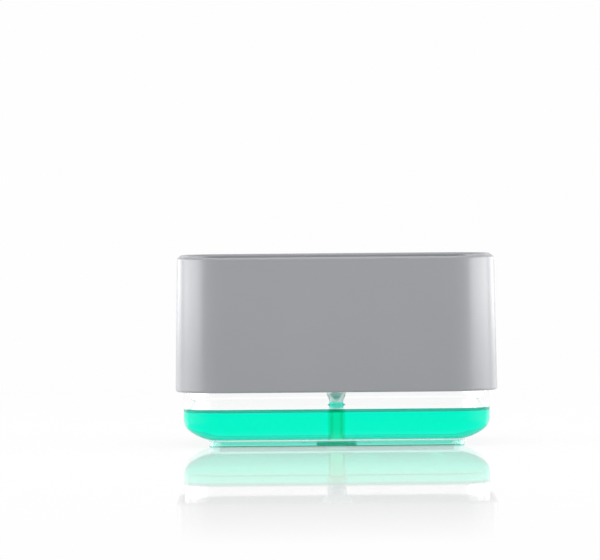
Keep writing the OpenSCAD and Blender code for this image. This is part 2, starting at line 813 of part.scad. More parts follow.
// Drain slots between the ribs, in a front and a back row
module plate_slots() {
    end_y = plate_half_y - rib_margin;
    for (index = [-rib_pairs : rib_pairs - 1]) {
        x = (index + 0.5) * rib_pitch;
        pad_reach = (pad_d + slot_w) / 2;
        start_y = abs(x) < pad_reach
            ? max(slot_break / 2, sqrt(pad_reach * pad_reach - x * x)) : slot_break / 2;
        translate([x, 0, plate_seat - overrun])
            linear_extrude(height = plate_t + 2 * overrun) {
                stadium(slot_w, start_y, end_y);
                stadium(slot_w, -end_y, -start_y);
            }
    }
}

// Socket round the head, a rib along each axis and two more across the plate's arms
module plate_underside() {
    socket_r = head_d / 2 + socket_gap;
    arm_x = half_x + plate_r - skirt_t / 2 - socket_r;
    arm_y = half_y + plate_r - skirt_t / 2 - socket_r;
    low_z = plate_seat - under_h;
    ring(socket_r + under_t, socket_r, plate_seat - socket_h, socket_h + plate_t / 2);
    for (turn = [0, 180]) {
        rotate([0, 0, turn]) translate([socket_r + under_t / 2, -under_t / 2, low_z])
            cube([arm_x - under_t / 2, under_t, under_h + plate_t / 2]);
        rotate([0, 0, turn + 90]) translate([socket_r + under_t / 2, -under_t / 2, low_z])
            cube([arm_y - under_t / 2, under_t, under_h + plate_t / 2]);
    }
    for (side = [-1, 1])
        translate([side * (rib_pairs - 2) * rib_pitch - under_t / 2, skirt_t / 2 - plate_half_y, low_z])
            cube([under_t, 2 * plate_half_y - skirt_t, under_h + plate_t / 2]);
}

module press_plate() {
    color([0.66, 0.67, 0.69]) difference() {
        union() {
            carry_round() plate_section();
            fill_middle(plate_seat, plate_t);
            plate_ribs();
            plate_underside();
        }
        plate_slots();
        translate([0, 0, plate_seat - overrun])
            cylinder(h = plate_t + 2 * overrun, r = outlet_d / 2 + outlet_gap);
    }
}

tank();
soap();
tank_seal();
housing();
pump_gasket();
pump_cylinder();
guide_collar();
stem_wiper();
screw_collar();
dip_tube();
ball_cage();
inlet_ball();
return_spring();
piston();
piston_rod();
pump_stem();
outlet_ball();
pump_head();
outlet_valve();
press_plate();
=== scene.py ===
import math

import bmesh
import bpy
from mathutils import Matrix, Vector


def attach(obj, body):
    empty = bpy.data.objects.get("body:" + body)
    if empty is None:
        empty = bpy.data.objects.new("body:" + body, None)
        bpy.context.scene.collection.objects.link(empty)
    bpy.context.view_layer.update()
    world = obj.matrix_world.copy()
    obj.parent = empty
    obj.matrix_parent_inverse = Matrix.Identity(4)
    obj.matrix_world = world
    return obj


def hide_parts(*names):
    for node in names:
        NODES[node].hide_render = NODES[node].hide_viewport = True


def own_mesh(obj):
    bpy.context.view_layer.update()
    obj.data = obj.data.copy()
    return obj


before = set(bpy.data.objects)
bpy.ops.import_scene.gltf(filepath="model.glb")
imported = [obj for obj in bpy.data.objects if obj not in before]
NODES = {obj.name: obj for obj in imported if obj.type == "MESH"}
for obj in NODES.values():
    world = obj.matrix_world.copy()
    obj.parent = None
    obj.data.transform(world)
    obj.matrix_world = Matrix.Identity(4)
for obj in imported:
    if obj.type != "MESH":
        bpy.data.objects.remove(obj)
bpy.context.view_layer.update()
scene = bpy.context.scene

# Sizes here are in millimetres, as in the source, and meshes are made in metres
MM = 0.001

# Housing
HOUSING_WIDTH = 146
HOUSING_DEPTH = 98
CORNER_RADIUS = 22
RIM_Z = 86
EDGE_Z = 25
LEAN = 1.1
HOUSING_WALL = 2.4
HOUSING_ROUNDING = 0.35
DECK_Z = 45
DECK_THICKNESS = 2.2
DECK_FILLET = 3
LOCATE_HEIGHT = 4
LOCATE_THICKNESS = 1.4
LOCATE_GAP = 0.35
NECK_RADIUS = 12.6
NECK_WALL = 2.2
NECK_TOP = 54
NECK_FILLET = 0.5

# Tank and soap
TANK_GAP = 0.9
TANK_WALL = 1.4
TANK_ROUNDING = 0.4
CURVE_WIDTH = 16
CURVE_HEIGHT = 10
CURVE_SIDE_RADIUS = 7
FOOT_HEIGHT = 2.6
FOOT_THICKNESS = 1.6
FOOT_INSET = 11.4
SUMP_RADIUS = 9.3
SUMP_RISE = 0.5
SEAL_THICKNESS = 1
SOAP_Z = 17
CLIMB_RADIUS = 1.3
CLIMB = 0.3
SOAP_OVERLAP = 0.4
TUBE_RADIUS = 3.8
TUBE_CLIMB = 0.3
# Between these levels the pump's ring is full of soap
FILLED_LOW_Z = 15
FILLED_TOP_Z = 18

HALF_X = HOUSING_WIDTH / 2 - CORNER_RADIUS
HALF_Y = HOUSING_DEPTH / 2 - CORNER_RADIUS
DECK_UNDER = DECK_Z - DECK_THICKNESS
TANK_RIM_Z = DECK_UNDER - SEAL_THICKNESS
LEAN_ANGLE = math.atan(LEAN / (RIM_Z - EDGE_Z))


def inside_x(depth, z):
    """Distance out from the corner centres of a face some depth inside the housing's side."""
    return CORNER_RADIUS - depth / math.cos(LEAN_ANGLE) - math.tan(LEAN_ANGLE) * (z - EDGE_Z)


TANK_RADIUS = inside_x(HOUSING_WALL, TANK_RIM_Z) - TANK_GAP
FOOT_RADIUS = TANK_RADIUS - FOOT_INSET

# Samples round the plan: per corner, along a long side and along a short side
CORNER_STEPS = 20
LONG_STEPS = 16
SHORT_STEPS = 8
# Steps of the arcs in the profiles
ARC_STEPS = 8
ROUNDING_STEPS = 3
NECK_FILLET_STEPS = 4
RIM_STEPS = 12
CURVE_FLOOR_STEPS = 10
CURVE_SIDE_STEPS = 14
# Steps from ring to ring over a flat face, fewer in the tank and the soap than in the housing
FLAT_STEPS = 5
HOUSING_FLAT_STEPS = 6
# Radius of the smallest ring in the middle of a flat face, which a cap closes
CAP_RADIUS = 0.5
# Edges that turn by more than this many degrees aren't shaded smoothly
SHARP_ANGLE = 35


def arc(x, z, radius, start, end, steps=ARC_STEPS):
    """Points of an arc in a profile, from one angle to another in degrees."""
    angles = [math.radians(start + (end - start) * i / steps) for i in range(steps + 1)]
    return [(x + radius * math.cos(a), z + radius * math.sin(a)) for a in angles]


def rounding(x, z, radius, start, end):
    """Points of the small arc of a rounded edge."""
    return arc(x, z, radius, start, end, ROUNDING_STEPS)


def plan_samples():
    """Corner centre and outward direction of each sample round the rounded plan."""
    samples = []
    corners = [(HALF_X, HALF_Y), (-HALF_X, HALF_Y), (-HALF_X, -HALF_Y), (HALF_X, -HALF_Y)]
    for index, (x, y) in enumerate(corners):
        start = 90 * index
        for step in range(CORNER_STEPS + 1):
            angle = math.radians(start + 90 * step / CORNER_STEPS)
            samples.append((x, y, math.cos(angle), math.sin(angle)))
        next_x, next_y = corners[(index + 1) % len(corners)]
        steps = LONG_STEPS if index % 2 == 0 else SHORT_STEPS
        angle = math.radians(start + 90)
        for step in range(1, steps):
            share = step / steps
            side_x, side_y = x + (next_x - x) * share, y + (next_y - y) * share
            samples.append((side_x, side_y, math.cos(angle), math.sin(angle)))
    return samples


SAMPLES = plan_samples()


def plan_ring(x, z):
    """A ring round the plan, x out from the corner centres, at height z."""
    return [(cx + x * dx, cy + x * dy, z) for cx, cy, dx, dy in SAMPLES]


def round_ring(radius, z):
    """A round ring about the axis whose points face those of the plan's rings."""
    ring = []
    for cx, cy, dx, dy in SAMPLES:
        angle = math.atan2(cy + TANK_RADIUS * dy, cx + TANK_RADIUS * dx)
        ring.append((radius * math.cos(angle), radius * math.sin(angle), z))
    return ring


def between(ring_a, ring_b, steps=FLAT_STEPS):
    """Rings that lead evenly from one ring to another."""
    return [
        [tuple(p + (q - p) * i / steps for p, q in zip(a, b)) for a, b in zip(ring_a, ring_b)]
        for i in range(1, steps)
    ]


def mesh_object(name, points, faces):
    """A new object whose mesh has these points in millimetres."""
    mesh = bpy.data.meshes.new(name)
    mesh.from_pydata([tuple(c * MM for c in p) for p in points], [], faces)
    work = bmesh.new()
    work.from_mesh(mesh)
    bmesh.ops.recalc_face_normals(work, faces=work.faces)
    work.to_mesh(mesh)
    work.free()
    mesh.update()
    obj = bpy.data.objects.new(name, mesh)
    scene.collection.objects.link(obj)
    return obj


def skin(name, rings, closed):
    """A smooth surface through rings of equally many points, closed on itself or else capped."""
    count = len(rings[0])
    points = [p for ring in rings for p in ring]
    faces = []
    for i in range(len(rings) - (0 if closed else 1)):
        here, there = i * count, (i + 1) % len(rings) * count
        for j in range(count):
            k = (j + 1) % count
            faces.append((here + j, here + k, there + k, there + j))
    if not closed:
        faces.append(tuple(reversed(range(count))))
        faces.append(tuple((len(rings) - 1) * count + j for j in range(count)))
    obj = mesh_object(name, points, faces)
    obj.data.shade_smooth()
    obj.data.set_sharp_from_angle(angle=math.radians(SHARP_ANGLE))
    return obj


def plan_distance(x, y):
    """How far out from the corner centres a point of the plan lies."""
    return math.hypot(max(abs(x) - HALF_X, 0), max(abs(y) - HALF_Y, 0))


def dress(obj, materials, slot_of):
    """Gives an object its materials, and each face the one in the slot that a function names."""
    for material in materials:
        obj.data.materials.append(material)
    for face in obj.data.polygons:
        face.material_index = slot_of(face)


# Nodes

WHITE = (1, 1, 1)
# Sockets of the two colours and of the outcome in a node that mixes colours
FIRST_COLOUR = 6
SECOND_COLOUR = 7
MIXED_COLOUR = 2
# The middle part of a noise's values, which holds nearly all of them
NOISE_LOW = 0.3
NOISE_HIGH = 0.7
MIRROR_ROUGHNESS = 0.02
EVEN_BLEND = 0.5


def material_tree(name):
    material = bpy.data.materials.new(name)
    material.use_nodes = True
    tree = material.node_tree
    tree.nodes.clear()
    return material, tree


def add_node(tree, kind, inputs=None, **settings):
    """Adds a node, sets its settings, and sets or links its inputs. A colour has three numbers."""
    node = tree.nodes.new(kind)
    for key, value in settings.items():
        setattr(node, key, value)
    for key, value in (inputs or {}).items():
        socket = node.inputs[key]
        if isinstance(value, bpy.types.NodeSocket):
            tree.links.new(value, socket)
        elif socket.type == "RGBA":
            socket.default_value = (*value, 1)
        else:
            socket.default_value = value
    return node


def calculate(tree, operation, first, second):
    return add_node(tree, "ShaderNodeMath", {
        0: first, 1: second,
    }, operation=operation).outputs["Value"]


def distance_from(tree, place):
    """How far a place is from the origin of its coordinates."""
    return add_node(tree, "ShaderNodeVectorMath", {0: place}, operation="LENGTH").outputs["Value"]


def mapped(tree, value, start, end, low, high):
    """Maps a value from one range to another, and holds it at both ends."""
    return add_node(tree, "ShaderNodeMapRange", {
        "Value": value, "From Min": start, "From Max": end, "To Min": low, "To Max": high,
    }).outputs["Result"]


def noise(tree, scale, detail=3):
    """Noise over the object's own coordinates."""
    place = add_node(tree, "ShaderNodeTexCoord").outputs["Object"]
    return add_node(tree, "ShaderNodeTexNoise", {
        "Vector": place, "Scale": scale, "Detail": detail,
    }).outputs["Fac"]


def spread(tree, value, low, high):
    """Maps a noise value's middle part to a range."""
    return mapped(tree, value, NOISE_LOW, NOISE_HIGH, low, high)


def two_colours(tree, share, first, second):
    return add_node(tree, "ShaderNodeMix", {
        "Factor": share, FIRST_COLOUR: first, SECOND_COLOUR: second,
    }, data_type="RGBA").outputs[MIXED_COLOUR]


def bump(tree, height, distance, strength=1.0, normal=None):
    inputs = {"Height": height, "Distance": distance, "Strength": strength}
    if normal is not None:
        inputs["Normal"] = normal
    return add_node(tree, "ShaderNodeBump", inputs).outputs["Normal"]


def facing(tree):
    """From 0 where a face is seen straight on to 1 where it is seen along."""
    return add_node(tree, "ShaderNodeLayerWeight", {"Blend": EVEN_BLEND}).outputs["Facing"]


def glow(tree, level):
    return add_node(tree, "ShaderNodeEmission", {
        "Color": WHITE, "Strength": level,
    }).outputs["Emission"]


def matt(tree, level):
    return add_node(tree, "ShaderNodeBsdfDiffuse", {"Color": (level,) * 3}).outputs["BSDF"]


def mirror(tree):
    return add_node(tree, "ShaderNodeBsdfGlossy", {
        "Color": WHITE, "Roughness": MIRROR_ROUGHNESS,
    }).outputs["BSDF"]


def see_through(tree, colour, ior, roughness=0.0, passed=1.0, normal=None):
    """Plastic or liquid that lets this share of the light pass."""
    inputs = {
        "Base Color": colour, "Roughness": roughness, "IOR": ior, "Transmission Weight": passed,
    }
    if normal is not None:
        inputs["Normal"] = normal
    return add_node(tree, "ShaderNodeBsdfPrincipled", inputs).outputs["BSDF"]


def mix_shaders(tree, share, first, second):
    """The first shader where the share is 0, and the second where it is 1."""
    return add_node(tree, "ShaderNodeMixShader", {
        0: share, 1: first, 2: second,
    }).outputs["Shader"]


def add_shaders(tree, first, second):
    return add_node(tree, "ShaderNodeAddShader", {0: first, 1: second}).outputs["Shader"]


def finish_material(tree, surface, volume=None):
    output = add_node(tree, "ShaderNodeOutputMaterial", {"Surface": surface})
    if volume is not None:
        tree.links.new(volume, output.inputs["Volume"])


# Moulded plastic

# Radius to which the sharp edges are broken, and how much of the worn colour handling leaves there
EDGE_BREAK = 0.2
EDGE_WEAR = 0.3
EDGE_SAMPLES = 6
# How alike the plain and the rounded normal are where wear starts and where it is full
WEAR_START = 0.99
WEAR_FULL = 0.85
LEAST_WEAR = 0.3
# The worn colour is the light colour times this gain, and raised
WORN_GAIN = 1.25
WORN_RAISE = 0.1
# Share by which the roughness drifts either way
GLOSS_DRIFT = 0.06
# Height of the skin and reach of light in the plastic, in metres
SKIN_HEIGHT = 0.00002
LIGHT_REACH = 0.004


def edge_share(tree, rounded):
    """How far a point lies into a broken edge, unevenly, from 0 on a face to the wear's share."""
    face = add_node(tree, "ShaderNodeNewGeometry").outputs["Normal"]
    alike = add_node(tree, "ShaderNodeVectorMath", {0: face, 1: rounded}, operation="DOT_PRODUCT")
    turned = mapped(tree, alike.outputs["Value"], WEAR_START, WEAR_FULL, 0, EDGE_WEAR)
    patches = spread(tree, noise(tree, scale=90, detail=4), LEAST_WEAR, 1)
    return calculate(tree, "MULTIPLY", turned, patches)


def moulded(name, light, dark, roughness, subsurface=0.0):
    """Two close colours that drift, worn edges, an uneven sheen and a faint skin."""
    material, tree = material_tree(name)
    rounded = add_node(tree, "ShaderNodeBevel", {
        "Radius": EDGE_BREAK * MM,
    }, samples=EDGE_SAMPLES).outputs["Normal"]
    drift = spread(tree, noise(tree, scale=18, detail=4), 0, 1)
    worn = tuple(min(1, WORN_RAISE + WORN_GAIN * part) for part in light)
    colour = two_colours(tree, drift, light, dark)
    smoothest, roughest = roughness * (1 - GLOSS_DRIFT), roughness * (1 + GLOSS_DRIFT)
    inputs = {
        "Base Color": two_colours(tree, edge_share(tree, rounded), colour, worn),
        "Roughness": spread(tree, noise(tree, scale=60), smoothest, roughest),
        "Normal": bump(tree, noise(tree, scale=900, detail=2), SKIN_HEIGHT, normal=rounded),
    }
    if subsurface:
        inputs["Subsurface Weight"] = subsurface
        inputs["Subsurface Radius"] = (LIGHT_REACH,) * 3
    shader = add_node(tree, "ShaderNodeBsdfPrincipled", inputs)
    finish_material(tree, shader.outputs["BSDF"])
    return material


# Clear plastic and soap

# Index of a face between two clear pieces that touch, so that it neither bends nor reflects light
MATCHED_IOR = 1.01
# After this many steps in all, or mirrorings, light in a clear piece counts as come from the room
MOST_STEPS = 8
MOST_MIRRORINGS = 2
ROOM_LEVEL = 0.9
# Share by which the roughness drifts either way
HAZE_DRIFT = 0.4
# Height of the ripple in metres, and how much of it shows
RIPPLE_HEIGHT = 0.00004
RIPPLE_STRENGTH = 0.3
# How much along a face is seen where its sheen starts and where it is full
SHEEN_START = 0.6
SHEEN_FULL = 0.92
# What each metre of soap lets through, by its colour and density
SOAP_COLOUR = (0.0, 0.988, 0.93)
SOAP_DENSITY = 70


def keep_light(tree, surface):
    """Ends a long path through clear pieces in the room's white instead of in black."""
    path = add_node(tree, "ShaderNodeLightPath").outputs
    deep = calculate(tree, "GREATER_THAN", path["Ray Depth"], MOST_STEPS)
    mirrored = calculate(tree, "GREATER_THAN", path["Glossy Depth"], MOST_MIRRORINGS)
    ended = calculate(tree, "MAXIMUM", deep, mirrored)
    return mix_shaders(tree, ended, surface, glow(tree, ROOM_LEVEL))


def clear(name, tint, ior, roughness=0.0, absorbs=False, sheen=0.0):
    """Clear plastic or liquid with a faint ripple. What absorbs has the soap's colour inside."""
    material, tree = material_tree(name)
    ripple = noise(tree, scale=35, detail=2)
    normal = bump(tree, ripple, RIPPLE_HEIGHT, RIPPLE_STRENGTH)
    if roughness:
        smoothest, roughest = roughness * (1 - HAZE_DRIFT), roughness * (1 + HAZE_DRIFT)
        roughness = spread(tree, noise(tree, scale=120), smoothest, roughest)
    surface = see_through(tree, tint, ior, roughness, normal=normal)
    if sheen:
        share = mapped(tree, facing(tree), SHEEN_START, SHEEN_FULL, 0, sheen)
        surface = mix_shaders(tree, share, surface, mirror(tree))
    volume = None
    if absorbs:
        volume = add_node(tree, "ShaderNodeVolumeAbsorption", {
            "Color": SOAP_COLOUR, "Density": SOAP_DENSITY,
        }).outputs["Volume"]
    finish_material(tree, keep_light(tree, surface), volume)
    return material


# Uncoloured plastic of the pump: where it is dry, full of soap at its ring, and under the soap

MILKY_LIGHT = (0.97, 1.0, 0.98)
MILKY_DARK = (0.92, 0.99, 0.95)
MILKY_SMOOTHEST = 0.4
MILKY_ROUGHEST = 0.52
MILKY_IOR = 1.1
MILKY_PASSED = 0.78
FILLED_COLOUR = (0.008, 0.94, 0.78)
FILLED_ROUGHNESS = 0.1
FILLED_IOR = 1.06
FILLED_PASSED = 0.9
BORE_TINT = (0.05, 0.985, 0.86)
SIDE_TINT = (0.01, 0.84, 0.7)
# Radius that parts the tube's bore from its outer side
BORE_LIMIT = TUBE_RADIUS - 0.5


def natural_plastic():
    """Milky where it is dry, turquoise at the filled ring, and nearly clear under the soap."""
    material, tree = material_tree("natural_plastic")
    place = add_node(tree, "ShaderNodeTexCoord").outputs["Object"]
    height = add_node(tree, "ShaderNodeSeparateXYZ", {"Vector": place}).outputs["Z"]
    across = add_node(tree, "ShaderNodeVectorMath", {
        0: place, 1: (1, 1, 0),
    }, operation="MULTIPLY").outputs["Vector"]
    drift = spread(tree, noise(tree, scale=200), 0, 1)
    dry = see_through(
        tree, two_colours(tree, drift, MILKY_LIGHT, MILKY_DARK), MILKY_IOR,
        spread(tree, noise(tree, scale=300), MILKY_SMOOTHEST, MILKY_ROUGHEST), MILKY_PASSED,
        bump(tree, noise(tree, scale=700, detail=2), SKIN_HEIGHT),
    )
    filled = see_through(tree, FILLED_COLOUR, FILLED_IOR, FILLED_ROUGHNESS, FILLED_PASSED)
    on_side = calculate(tree, "GREATER_THAN", distance_from(tree, across), BORE_LIMIT * MM)
    wet = mix_shaders(
        tree, on_side,
        see_through(tree, BORE_TINT, MATCHED_IOR), see_through(tree, SIDE_TINT, MATCHED_IOR),
    )
    above_ring = calculate(tree, "GREATER_THAN", height, FILLED_TOP_Z * MM)
    above_soap = calculate(tree, "GREATER_THAN", height, FILLED_LOW_Z * MM)
    upper = mix_shaders(tree, above_ring, filled, dry)
    finish_material(tree, mix_shaders(tree, above_soap, keep_light(tree, wet), upper))
    return material


# Camera

CAMERA_PLACE = (-0.01615, -2.9, 0.141)
CAMERA_AIM = (-0.01615, 0, 0.0747)
CAMERA_LENS = 380
CAMERA_SENSOR = 36
CAMERA_ROLL = -0.5
NEAREST_SEEN = 0.1
FARTHEST_SEEN = 50


def turned_towards(place, aim):
    """The turn that points a camera or lamp at its aim, upright."""
    return (Vector(aim) - Vector(place)).to_track_quat("-Z", "Y")


def make_camera():
    data = bpy.data.cameras.new("camera")
    data.sensor_width = CAMERA_SENSOR
    data.lens = CAMERA_LENS
    data.clip_start = NEAREST_SEEN
    data.clip_end = FARTHEST_SEEN
    camera = bpy.data.objects.new("camera", data)
    scene.collection.objects.link(camera)
    turn = turned_towards(CAMERA_PLACE, CAMERA_AIM).to_matrix().to_4x4()
    roll = Matrix.Rotation(math.radians(CAMERA_ROLL), 4, Vector((0, 0, 1)))
    camera.matrix_world = Matrix.Translation(CAMERA_PLACE) @ turn @ roll
    scene.camera = camera


# Room and lamps

WORLD_LEVEL = 0.32
DARK_SIDE_LEVEL = 0.12
# The strength at which the room and the floor look white
WHITE_LEVEL = 0.99
# Between these directions the dark front fades into white, towards the back and upwards
BACK_START = -0.85
BACK_END = -0.1
UP_START = 0.08
UP_END = 0.24
# Parts first reflections, whose count is 1, from second ones
FIRST_MIRRORING = 1.5

LAMP_AIM = (0, 0, 0.06)
# Name, place, width, height and power
LAMPS = [
    ("front_light", (0.0, -0.9, 1.5), 1.2, 0.5, 7),
    ("left_light", (-1.3, -0.15, 0.12), 1.4, 0.9, 24),
    ("right_light", (1.3, -0.15, 0.12), 1.4, 0.9, 26),
    ("left_rim_light", (-1.1, 1.1, 0.1), 0.8, 0.8, 7),
    ("right_rim_light", (1.1, 1.1, 0.1), 0.8, 0.8, 7),
    ("top_light", (0, 0.2, 1.5), 1.2, 1.2, 6.5),
]


def seen_directly(tree):
    """1 for rays that see the surface itself: from the camera, in a reflection or through glass."""
    path = add_node(tree, "ShaderNodeLightPath").outputs
    either = calculate(tree, "MAXIMUM", path["Is Camera Ray"], path["Is Glossy Ray"])
    return calculate(tree, "MAXIMUM", either, path["Is Transmission Ray"])


def room(tree, level):
    return add_node(tree, "ShaderNodeBackground", {
        "Color": WHITE, "Strength": level,
    }).outputs["Background"]


def make_world():
    """A white room. It lights less than it shows, and second reflections find its front dark."""
    world = bpy.data.worlds.new("studio")
    world.use_nodes = True
    tree = world.node_tree
    tree.nodes.clear()
    direction = add_node(tree, "ShaderNodeTexCoord").outputs["Generated"]
    parts = add_node(tree, "ShaderNodeSeparateXYZ", {"Vector": direction}).outputs
    path = add_node(tree, "ShaderNodeLightPath").outputs
    back = mapped(tree, parts["Y"], BACK_START, BACK_END, DARK_SIDE_LEVEL, WHITE_LEVEL)
    up = mapped(tree, parts["Z"], UP_START, UP_END, DARK_SIDE_LEVEL, WHITE_LEVEL)
    once = calculate(tree, "LESS_THAN", path["Glossy Depth"], FIRST_MIRRORING)
    level = calculate(tree, "MAXIMUM", calculate(tree, "MAXIMUM", back, up), once)
    plain = mix_shaders(
        tree, seen_directly(tree), room(tree, WORLD_LEVEL), room(tree, WHITE_LEVEL),
    )
    surface = mix_shaders(tree, path["Is Glossy Ray"], plain, room(tree, level))
    add_node(tree, "ShaderNodeOutputWorld", {"Surface": surface})
    scene.world = world


def make_lamps():
    for name, place, width, height, power in LAMPS:
        data = bpy.data.lights.new(name, "AREA")
        data.shape = "RECTANGLE"
        data.size = width
        data.size_y = height
        data.energy = power
        lamp = bpy.data.objects.new(name, data)
        scene.collection.objects.link(lamp)
        lamp.location = place
        lamp.rotation_euler = turned_towards(place, LAMP_AIM).to_euler()
        lamp.visible_camera = False


# Floor

FLOOR_SIZE = 12
# Beside the object the floor catches light and glows. Between the distances it turns plain white
FLOOR_DIFFUSE = 0.2
FLOOR_EMISSION = 0.78
WHITE_START = 0.15
WHITE_END = 0.7
# How much the floor mirrors at a low angle beside the object. It fades to nothing further out
FLOOR_GLOSS = 0.62
GLOSS_START = 0.03
GLOSS_END = 0.72
# How much along the floor is seen where its mirroring starts to rise and where it is full
LOW_ANGLE_START = 0.3
LOW_ANGLE_FULL = 0.95
LEAST_GLOSS = 0.25
# What the object receives from the floor, as caught light and as the floor's own
BOUNCE_DIFFUSE = 0.4
BOUNCE_EMISSION = 0.5


def floor_gloss(tree, distance):
    """Share of the light that the floor mirrors."""
    ramp = add_node(tree, "ShaderNodeValToRGB", {"Fac": distance})
    near, far = ramp.color_ramp.elements
    near.position = GLOSS_START
    near.color = (FLOOR_GLOSS,) * 3 + (1,)
    far.position = GLOSS_END
    far.color = (0, 0, 0, 1)
    lowered = mapped(tree, facing(tree), LOW_ANGLE_START, LOW_ANGLE_FULL, LEAST_GLOSS, 1.0)
    return calculate(tree, "MULTIPLY", ramp.outputs["Color"], lowered)


def make_floor():
    half = FLOOR_SIZE / 2
    corners = [(-half, -half, 0), (half, -half, 0), (half, half, 0), (-half, half, 0)]
    mesh = bpy.data.meshes.new("floor")
    mesh.from_pydata(corners, [], [(0, 1, 2, 3)])
    floor = bpy.data.objects.new("floor", mesh)
    scene.collection.objects.link(floor)
    material, tree = material_tree("floor")
    place = add_node(tree, "ShaderNodeTexCoord").outputs["Object"]
    distance = distance_from(tree, place)
    white = glow(tree, WHITE_LEVEL)
    near = add_shaders(tree, matt(tree, FLOOR_DIFFUSE), glow(tree, FLOOR_EMISSION))
    plain = mix_shaders(tree, mapped(tree, distance, WHITE_START, WHITE_END, 0, 1), near, white)
    look = mix_shaders(tree, floor_gloss(tree, distance), plain, mirror(tree))
    lit = add_shaders(tree, matt(tree, BOUNCE_DIFFUSE), glow(tree, BOUNCE_EMISSION))
    both = mix_shaders(tree, seen_directly(tree), lit, look)
    through = add_node(tree, "ShaderNodeLightPath").outputs["Is Transmission Ray"]
    finish_material(tree, mix_shaders(tree, through, both, white))
    mesh.materials.append(material)


# Housing

HOUSING_LIGHT = (0.306, 0.313, 0.329)
HOUSING_DARK = (0.295, 0.302, 0.318)
HOUSING_ROUGHNESS = 0.3


def housing_rings():
    """Rings over the whole surface of the housing, from the neck's bore out and back below."""
    edge = HOUSING_ROUNDING
    bore = NECK_RADIUS - NECK_WALL
    neck = rounding(bore + edge, NECK_TOP - edge, edge, 180, 90)
    neck += rounding(NECK_RADIUS - edge, NECK_TOP - edge, edge, 90, 0)
    neck += arc(NECK_RADIUS + NECK_FILLET, DECK_Z + NECK_FILLET, NECK_FILLET, 180, 270,
                NECK_FILLET_STEPS)
    rings = [round_ring(r, z) for r, z in [(bore, DECK_UNDER)] + neck]
    centre_z = DECK_Z + DECK_FILLET
    centre_x = inside_x(HOUSING_WALL + DECK_FILLET, centre_z)
    lean = math.degrees(LEAN_ANGLE)
    profile = arc(centre_x, centre_z, DECK_FILLET, 270, 360 + lean)
    rings += between(rings[-1], plan_ring(*profile[0]), HOUSING_FLAT_STEPS)
    half_wall = HOUSING_WALL / 2
    top_z = RIM_Z - half_wall
    edge_z = EDGE_Z + half_wall
    profile += arc(inside_x(half_wall, top_z), top_z, half_wall, 180 + lean, lean, RIM_STEPS)
    profile += arc(inside_x(half_wall, edge_z), edge_z, half_wall, lean, lean - 180, RIM_STEPS)
    profile.append((inside_x(HOUSING_WALL, DECK_UNDER), DECK_UNDER))
    locate_x = TANK_RADIUS - TANK_WALL - LOCATE_GAP
    low_z = DECK_UNDER - LOCATE_HEIGHT
    profile.append((locate_x, DECK_UNDER))
    profile += rounding(locate_x - edge, low_z + edge, edge, 0, -90)
    profile += rounding(locate_x - LOCATE_THICKNESS + edge, low_z + edge, edge, 270, 180)
    profile.append((locate_x - LOCATE_THICKNESS, DECK_UNDER))
    rings += [plan_ring(x, z) for x, z in profile]
    rings += between(rings[-1], rings[0], HOUSING_FLAT_STEPS)
    return rings


def make_housing():
    housing = skin("housing_shell", housing_rings(), closed=True)
    material = moulded("housing_grey", HOUSING_LIGHT, HOUSING_DARK, HOUSING_ROUGHNESS)
    housing.data.materials.append(material)
    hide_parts("housing")
    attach(housing, "cover")


# Tank

# Indices of the dry plastic, of the foot ring, and of the outer side and the bottom curve beside
# the soap. The last two are low, because the light round them is even
TANK_IOR = 1.49
RING_IOR = 1.3
SIDE_IOR = 1.16
CURVE_IOR = 1.12
TANK_ROUGHNESS = 0.01
FOOT_ROUGHNESS = 0.02
# Dark green tint of the foot ring's lower edge: painted shade for its contact line with the floor
FOOT_SHADE_TINT = (0.02, 0.32, 0.22)
RING_TINT = (0.41, 0.88, 0.78)
# Height that the bottom curve's index reaches
CURVE_TOP_Z = 10.5
# Height up to which the foot ring's lower edge is tinted dark: painted shade for the contact line
# where the tank stands on the floor
FOOT_SHADE_HEIGHT = 0.55
# How far a face inside the tank lies from its outer side and floor
SKIN_DEPTH = TANK_WALL * 0.4
# How far the faces beside the soap keep from the foot ring, and reach round the sump
BESIDE_MARGIN = 0.2
# How far the foot ring's edge at least is from the sump and from the corner centres
FOOT_MARGIN = 1
# The tank's slots
TANK_DRY, TANK_WET, TANK_SIDE, TANK_FOOT_SHADE, TANK_RING, TANK_CURVE = range(6)


def curve_arcs(inset):
    """The two arcs of the tank's bottom curve, from the floor to the side, moved in by an inset."""
    floor_r = (CURVE_WIDTH ** 2 + CURVE_HEIGHT ** 2 - 2 * CURVE_WIDTH * CURVE_SIDE_RADIUS) / (
        2 * (CURVE_HEIGHT - CURVE_SIDE_RADIUS)
    )
    side_x = TANK_RADIUS - CURVE_SIDE_RADIUS
    side_z = FOOT_HEIGHT + CURVE_HEIGHT
    floor_x = TANK_RADIUS - CURVE_WIDTH
    floor_z = FOOT_HEIGHT + floor_r
    meet = math.degrees(math.atan2(side_z - floor_z, side_x - floor_x))
    return (
        arc(floor_x, floor_z, floor_r - inset, -90, meet, CURVE_FLOOR_STEPS)
        + arc(side_x, side_z, CURVE_SIDE_RADIUS - inset, meet, 0, CURVE_SIDE_STEPS)[1:]
    )


OUTER_CURVE = curve_arcs(0)


